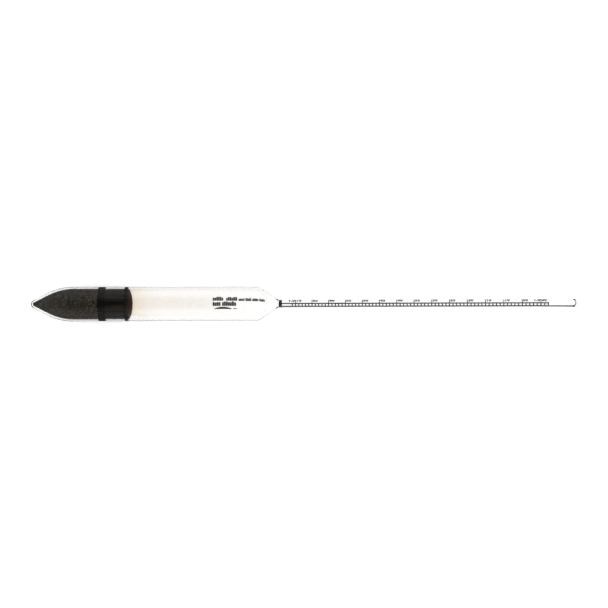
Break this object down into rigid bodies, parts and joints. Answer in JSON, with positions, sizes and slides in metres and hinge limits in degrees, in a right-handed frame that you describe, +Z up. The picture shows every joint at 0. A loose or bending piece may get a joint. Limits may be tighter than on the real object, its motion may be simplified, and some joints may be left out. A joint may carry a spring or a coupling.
{
  "type": "glass hydrometer",
  "caption": "Sealed glass float with a weighted pointed bulb, a dark ballast seal, a curled label and a thin stem holding a rolled specific gravity scale.",
  "frame": {"origin": "on the surface that the lying instrument rests on, under the middle of its length", "axes": "+X along the axis from the nose to the tip of the stem, +Z up, so the axis is level at the height of the barrel's radius; the printing faces +Z and the tops of its figures face +Y"},
  "size_m": [0.305, 0.0192, 0.0192],
  "materials": {
    "clear_glass": "clear, flame polished",
    "ballast_grit": "fine dark grey mineral grit",
    "seal_resin": "dark brown resin, amber where it is thin",
    "scale_paper": "smooth white paper",
    "label_paper": "cream white paper",
    "printing_ink": "matt black ink",
    "adhesive": "dried clear amber adhesive"
  },
  "bodies": {
    "root": {"bulb_glass": "clear_glass", "stem_glass": "clear_glass", "ballast_grit": "ballast_grit", "ballast_seal": "seal_resin", "scale_paper": "scale_paper", "scale_graduations": "printing_ink", "scale_numerals": "printing_ink", "index_bar": "printing_ink", "scale_adhesive": "adhesive", "label_paper": "label_paper", "label_print": "printing_ink", "label_adhesive": "adhesive"}
  },
  "joints": []
}
